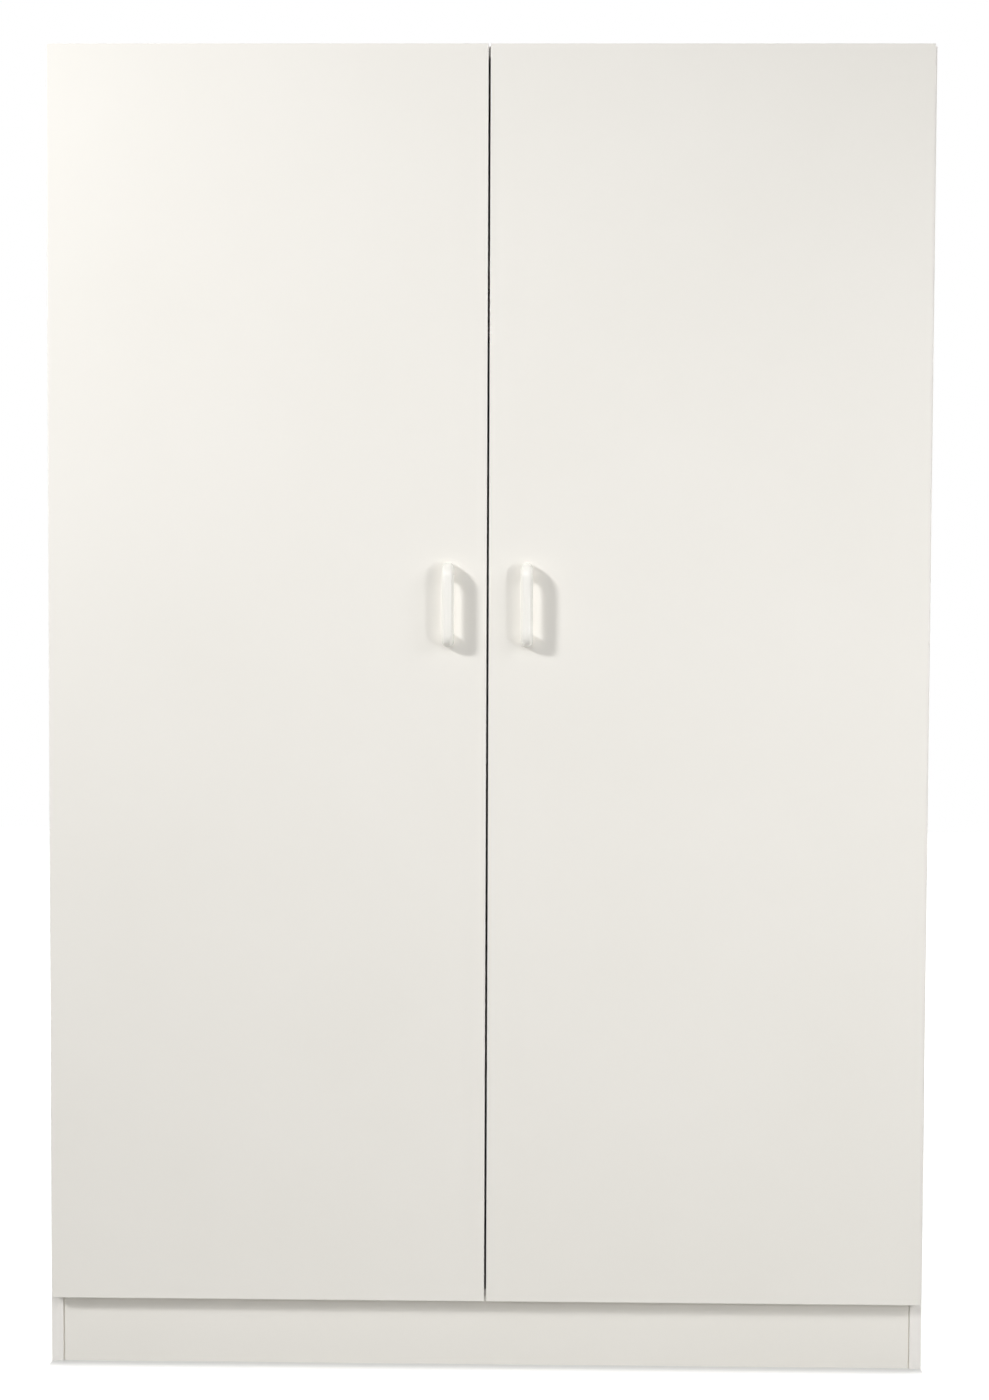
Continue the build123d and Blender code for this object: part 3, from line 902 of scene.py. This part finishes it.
@dataclass
class BackNails:
    """The flat nail heads that hold the two hardboard sheets to the boards behind."""

    head_radius_mm: float = 1.7
    head_rise_mm: float = 0.7
    dome_mm: float = 0.4
    pitch_mm: float = 190.0
    edge_mm: float = 8.0
    corners: int = 12

    def build(self) -> bpy.types.Object:
        """Model one head and copy it along the edges of both sheets and the shelf.

        Returns:
            All heads as one piece.
        """
        head = self.one_head()
        heads = [head]
        first, *others = self.spots()
        for spot in others:
            copy = head.copy()
            copy.data = head.data.copy()
            copy.location = spot
            bpy.context.scene.collection.objects.link(copy)
            heads.append(copy)
        head.location = first
        bpy.ops.object.select_all(action="DESELECT")
        for copy in heads:
            copy.select_set(True)
        bpy.context.view_layer.objects.active = head
        bpy.ops.object.join()
        bpy.ops.object.transform_apply(location=True, rotation=True, scale=True)
        head.name = "back_nail_heads"
        head.data.name = head.name
        smooth(head)
        ZINC_PLATE.dress(head)
        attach(head, "carcass")
        return head

    def one_head(self) -> bpy.types.Object:
        """Model a nail head at the origin, with its crown towards the wall.

        Returns:
            The head.
        """
        bpy.ops.object.select_all(action="DESELECT")
        depth = self.head_rise_mm * MM
        bpy.ops.mesh.primitive_cylinder_add(
            vertices=self.corners, radius=self.head_radius_mm * MM, depth=depth,
            location=(0, depth / 2, 0), rotation=(math.radians(-90), 0, 0),
        )
        head = bpy.context.object
        bpy.ops.object.transform_apply(location=True, rotation=True, scale=True)
        bpy.ops.object.mode_set(mode="EDIT")
        pick_edges(head, lambda a, b: min(a.y, b.y) > depth - TOUCH)
        bpy.ops.mesh.bevel(offset=self.dome_mm * MM, segments=2, affect="EDGES")
        bpy.ops.object.mode_set(mode="OBJECT")
        return head

    def spots(self) -> list[Vector]:
        """List the places of the heads on the back, along every board that takes a nail.

        Returns:
            Points on the outer face of the hardboard.
        """
        sheets_low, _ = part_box("back_panel_left")
        _, sheets_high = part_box("back_panel_right")
        shelf_low, shelf_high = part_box("hat_shelf")
        edge = self.edge_mm * MM
        left, right = sheets_low.x + edge, sheets_high.x - edge
        bottom, top = sheets_low.z + edge, sheets_high.z - edge
        rows = max(2, round((top - bottom) / (self.pitch_mm * MM)))
        spots = []
        for row in range(rows + 1):
            z = bottom + (top - bottom) * row / rows
            spots += [Vector((x, sheets_high.y, z)) for x in (left, right)]
        columns = 2 * max(1, round((right - left) / (2 * self.pitch_mm * MM)))
        for z in (bottom, (shelf_low.z + shelf_high.z) / 2, top):
            for column in range(1, columns):
                # The middle nail goes beside the joining strip
                aside = edge * 2 if column == columns / 2 else 0.0
                x = left + (right - left) * column / columns + aside
                spots.append(Vector((x, sheets_high.y, z)))
        return spots


@dataclass(frozen=True)
class Softbox:
    """A square lamp behind white cloth. A grid can narrow its beam, and gloss may leave it out."""

    name: str
    place: tuple[float, float, float]
    aim: tuple[float, float, float]
    size: float
    watts: float
    beam_deg: float = 180.0
    mirrored: bool = True

    def add(self) -> None:
        """Add the lamp to the scene, turned to what it lights."""
        lamp = bpy.data.lights.new(self.name, "AREA")
        lamp.size = self.size
        lamp.energy = self.watts
        lamp.spread = math.radians(self.beam_deg)
        holder = bpy.data.objects.new(self.name, lamp)
        holder.location = self.place
        sight = Vector(self.aim) - Vector(self.place)
        holder.rotation_euler = sight.to_track_quat("-Z", "Y").to_euler()
        holder.visible_glossy = self.mirrored
        bpy.context.scene.collection.objects.link(holder)


# The key throws the handles' shadows to the right; it is the strong lamp of the picture
KEY_LAMP = Softbox(
    "key_softbox", place=(-3.33, -2.94, 3.0), aim=(-1.57, -0.24, 2.2), size=0.6, watts=45.6, beam_deg=88.0
)
# The fill throws the handles' faint second shadows to the left
FILL_LAMP = Softbox(
    "fill_softbox", place=(1.6, -2.2, 0.95), aim=(0.0, -0.24, 1.0), size=0.2, watts=10.6
)
# A soft lamp over the camera, for the doors' lower part
FRONT_LAMP = Softbox(
    "front_softbox", place=(0.0, -3.4, 2.6), aim=(-0.15, -0.24, 0.1), size=1.0, watts=4.5, beam_deg=75.0
)
# A wide panel that evens out the right-hand door
RIGHT_LAMP = Softbox(
    "right_panel", place=(2.3, -1.9, 2.0), aim=(0.2, -0.24, 0.35), size=1.4, watts=8.8, beam_deg=108.0
)
# The rear panels light the back, which the picture doesn't show, and stay out of the top's gloss
LEFT_REAR_LAMP = Softbox(
    "left_rear_panel", place=(-2.8, 2.6, 2.6), aim=(0.0, 0.1, 0.9), size=2.4, watts=60.0, mirrored=False
)
RIGHT_REAR_LAMP = Softbox(
    "right_rear_panel", place=(2.8, 2.2, 2.6), aim=(0.0, 0.1, 0.9), size=2.4, watts=66.0, mirrored=False
)
LAMPS = (KEY_LAMP, FILL_LAMP, FRONT_LAMP, RIGHT_LAMP, LEFT_REAR_LAMP, RIGHT_REAR_LAMP)


@dataclass
class Studio:
    """The pale floor, the soft lamps and the camera of the catalogue picture, with lengths in metres."""

    camera_x: float = 0.076
    camera_back: float = 3.5
    camera_z: float = 1.099
    yaw_deg: float = 1.09
    pitch_deg: float = -2.94
    roll_deg: float = -0.23
    focal_px: float = 2572.0
    picture_px: float = 1400.0
    sensor_mm: float = 36.0
    floor_size: float = 14.0
    floor_hex: str = "#C6C6C4"
    floor_lift: float = 0.74
    # The glow dips in a narrow strip along the foot, a painted contact shadow there
    painted_shadow_depth: float = 0.62
    painted_shadow_from: float = -0.02
    painted_shadow_to: float = 0.022
    painted_shadow_end_sharpness: float = 10.0
    white_from: float = 0.9
    white_at: float = 1.9
    ambient: float = 0.1

    def build(self, front: float) -> None:
        """Set up the whole studio.

        Args:
            front: Depth of the carcass front edges, from which the camera stands off.
        """
        self.place_camera(front)
        self.lay_floor(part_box("right_side_panel")[1].x, -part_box("right_door_panel")[0].y)
        self.light_world()
        for lamp in LAMPS:
            lamp.add()
        bpy.context.scene.view_settings.view_transform = "Standard"

    def place_camera(self, front: float) -> None:
        """Add the camera at the picture's viewpoint.

        Args:
            front: Depth of the carcass front edges.
        """
        yaw, pitch, roll = (math.radians(a) for a in (self.yaw_deg, self.pitch_deg, self.roll_deg))
        level_right = Vector((math.cos(yaw), math.sin(yaw), 0))
        level_ahead = Vector((-math.sin(yaw), math.cos(yaw), 0))
        plumb = Vector((0, 0, 1))
        ahead = level_ahead * math.cos(pitch) + plumb * math.sin(pitch)
        rise = plumb * math.cos(pitch) - level_ahead * math.sin(pitch)
        right = level_right * math.cos(roll) - rise * math.sin(roll)
        up = level_right * math.sin(roll) + rise * math.cos(roll)
        turn = Matrix((right, up, -ahead)).transposed()
        lens = bpy.data.cameras.new("catalogue_camera")
        lens.sensor_width = self.sensor_mm
        lens.lens = self.focal_px / self.picture_px * self.sensor_mm
        camera = bpy.data.objects.new("catalogue_camera", lens)
        place = Matrix.Translation((self.camera_x, front - self.camera_back, self.camera_z))
        camera.matrix_world = place @ turn.to_4x4()
        bpy.context.scene.collection.objects.link(camera)
        bpy.context.scene.camera = camera

    def lay_floor(self, half_width: float, half_depth: float) -> None:
        """Add the floor, which looks white to the camera and still takes the wardrobe's shadow, with a
        painted contact shadow along the foot.

        Args:
            half_width: How far the wardrobe stands out to each side of the middle.
            half_depth: How far the doors stand out in front of the middle.
        """
        bpy.ops.object.select_all(action="DESELECT")
        bpy.ops.mesh.primitive_plane_add(size=self.floor_size)
        floor = bpy.context.object
        floor.name = "studio_floor"
        made = bpy.data.materials.new("pale_floor")
        made.use_nodes = True
        tree = made.node_tree
        tree.nodes.clear()
        matt = add_node(tree, "ShaderNodeBsdfDiffuse", {"Color": linear_colour(self.floor_hex)})
        lift = add_node(
            tree, "ShaderNodeMath", {"operation": "MULTIPLY"},
            {0: (self.seen_directly(tree), 0), 1: (self.floor_glow(tree, half_width, half_depth), 0)},
        )
        glow = add_node(tree, "ShaderNodeEmission", links={"Strength": (lift, 0)})
        both = add_node(tree, "ShaderNodeAddShader", links={0: (matt, 0), 1: (glow, 0)})
        add_node(tree, "ShaderNodeOutputMaterial", links={"Surface": (both, 0)})
        floor.data.materials.append(made)

    def floor_glow(
        self, tree: bpy.types.NodeTree, half_width: float, half_depth: float
    ) -> bpy.types.Node:
        """Grade the floor's own glow: taken down along the wardrobe's foot as a painted contact shadow,
        full white far away.

        Args:
            tree: Node tree of the floor.
            half_width: How far the wardrobe stands out to each side of the middle.
            half_depth: How far the doors stand out in front of the middle.

        Returns:
            A node that gives the strength of the glow.
        """
        place = add_node(tree, "ShaderNodeTexCoord")
        point = add_node(tree, "ShaderNodeSeparateXYZ", links={0: (place, "Object")})
        gaps = []
        for axis, half in (("X", half_width), ("Y", half_depth)):
            away = add_node(tree, "ShaderNodeMath", {"operation": "ABSOLUTE"}, {0: (point, axis)})
            gaps.append(
                add_node(tree, "ShaderNodeMath", {"operation": "SUBTRACT", 1: half}, {0: (away, 0)})
            )
        gap = add_node(
            tree, "ShaderNodeMath", {"operation": "MAXIMUM"}, {0: (gaps[0], 0), 1: (gaps[1], 0)}
        )
        far = add_node(
            tree, "ShaderNodeMapRange",
            {
                "interpolation_type": "SMOOTHSTEP",
                1: self.white_from, 2: self.white_at, 3: self.floor_lift, 4: 1.0,
            },
            {0: (gap, 0)},
        )
        # Painted contact shadow: a strip along the front of the foot, cut off sharply at the wardrobe's
        # sides
        painted_shadow_end = add_node(
            tree, "ShaderNodeMath", {"operation": "MULTIPLY", 1: self.painted_shadow_end_sharpness},
            {0: (gaps[0], 0)},
        )
        strip = add_node(
            tree, "ShaderNodeMath", {"operation": "MAXIMUM"}, {0: (painted_shadow_end, 0), 1: (gaps[1], 0)}
        )
        # How far the painted contact shadow takes the floor's glow down
        foot = add_node(
            tree, "ShaderNodeMapRange",
            {
                "interpolation_type": "SMOOTHSTEP",
                1: self.painted_shadow_from, 2: self.painted_shadow_to, 3: self.painted_shadow_depth, 4: 0.0,
            },
            {0: (strip, 0)},
        )
        return add_node(tree, "ShaderNodeMath", {"operation": "SUBTRACT"}, {0: (far, 0), 1: (foot, 0)})

    def light_world(self) -> None:
        """Surround the wardrobe with soft light, and show white behind it."""
        world = bpy.data.worlds.new("white_cove")
        bpy.context.scene.world = world
        world.use_nodes = True
        tree = world.node_tree
        tree.nodes.clear()
        soft, white = (
            add_node(tree, "ShaderNodeBackground", {"Color": (1, 1, 1, 1), "Strength": strength})
            for strength in (self.ambient, 1.0)
        )
        seen = self.seen_directly(tree)
        both = add_node(tree, "ShaderNodeMixShader", links={0: (seen, 0), 1: (soft, 0), 2: (white, 0)})
        add_node(tree, "ShaderNodeOutputWorld", links={"Surface": (both, 0)})

    def seen_directly(self, tree: bpy.types.NodeTree) -> bpy.types.Node:
        """Mark rays from the camera, from gloss and through clear pieces.

        Args:
            tree: Node tree of the floor or the world.

        Returns:
            A node that gives one for such rays.
        """
        path = add_node(tree, "ShaderNodeLightPath")
        gloss = add_node(
            tree, "ShaderNodeMath", {"operation": "MAXIMUM"},
            {0: (path, "Is Camera Ray"), 1: (path, "Is Glossy Ray")},
        )
        return add_node(
            tree, "ShaderNodeMath", {"operation": "MAXIMUM"},
            {0: (gloss, 0), 1: (path, "Is Transmission Ray")},
        )


def dress_nodes(nodes: dict[str, bpy.types.Object]) -> None:
    """Give every carried-over node its finish.

    Args:
        nodes: The frame's node objects by name.
    """
    for name, node in nodes.items():
        NODE_FINISHES.get(name, NICKEL).dress(node)


def main() -> None:
    """Build the looks in order and report each new piece."""
    logging.basicConfig(level=logging.INFO, format="%(name)s: %(message)s")
    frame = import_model()
    dress_nodes(frame["nodes"])
    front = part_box("carcass_edging")[0].y
    builders = [DoorEdging(side) for side in Side] + [HandleBow(side) for side in Side]
    for builder in [*builders, HangingRail(), BackNails()]:
        piece = builder.build()
        LOG.info("%s: %d faces", piece.name, len(piece.data.polygons))
    Studio().build(front)


if __name__ == "__main__":
    main()
